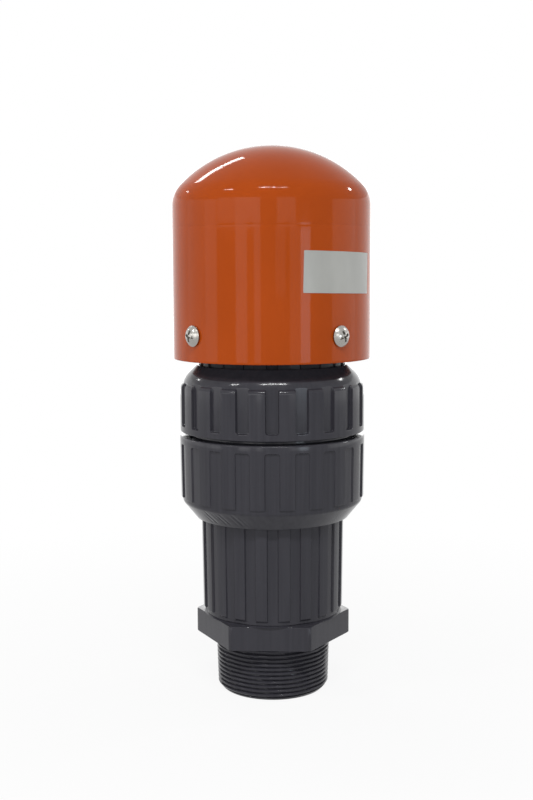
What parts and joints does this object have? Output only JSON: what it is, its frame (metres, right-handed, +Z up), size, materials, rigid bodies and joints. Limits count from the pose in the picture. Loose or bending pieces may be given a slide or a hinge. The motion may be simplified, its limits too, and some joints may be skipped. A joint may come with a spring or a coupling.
{
  "type": "air release valve",
  "caption": "Float air release valve with a tapered male inlet thread, ribbed true-union body and a domed rain hood that shields the annular vent.",
  "frame": {"origin": "centre of the end face of the inlet thread, the lowest point of the valve", "axes": "+Z up the valve's axis from the inlet to the hood, -Y towards the side that shows a flat of the hexagon"},
  "size_m": [0.1028, 0.1028, 0.2849],
  "materials": {
    "grey_pvc": "moulded dark grey PVC with a soft gloss",
    "orange_pvc": "glossy moulded orange",
    "stainless": "bright stainless steel",
    "epdm": "black EPDM rubber",
    "natural_pp": "natural polypropylene"
  },
  "bodies": {
    "base": {"male_adapter": "grey_pvc", "body": "grey_pvc", "flange_o_ring": "epdm", "lower_guide": "grey_pvc", "lower_guide_bush": "natural_pp", "guide_retaining_ring": "stainless"},
    "top": {"vent_neck": "grey_pvc", "hood": "orange_pvc", "hood_screws": "stainless", "hood_spacers": "grey_pvc", "upper_guide": "grey_pvc", "upper_guide_bush": "natural_pp"},
    "nut": {"union_nut": "grey_pvc"},
    "float": {"float_stem": "natural_pp", "float_lower_shell": "natural_pp", "float_upper_shell": "natural_pp", "valve_disc": "natural_pp", "disc_o_ring": "epdm", "stem_washer": "stainless", "stem_nut": "stainless"}
  },
  "joints": [
    {"name": "top_lift", "type": "slide", "parent": "base", "child": "top", "axis": [0, 0, 1], "range_m": [0, 0.0135]},
    {"name": "nut_turn", "type": "hinge", "parent": "top", "child": "nut", "pos_m": [0, 0, 0.15], "axis": [0, 0, 1], "range_deg": [0, 1080]},
    {"name": "float_rise", "type": "slide", "parent": "base", "child": "float", "axis": [0, 0, 1], "range_m": [0, 0.014]}
  ],
  "couplings": [
    {"joint": "top_lift", "follows": "nut_turn", "m_per_rad": 0.000716}
  ]
}
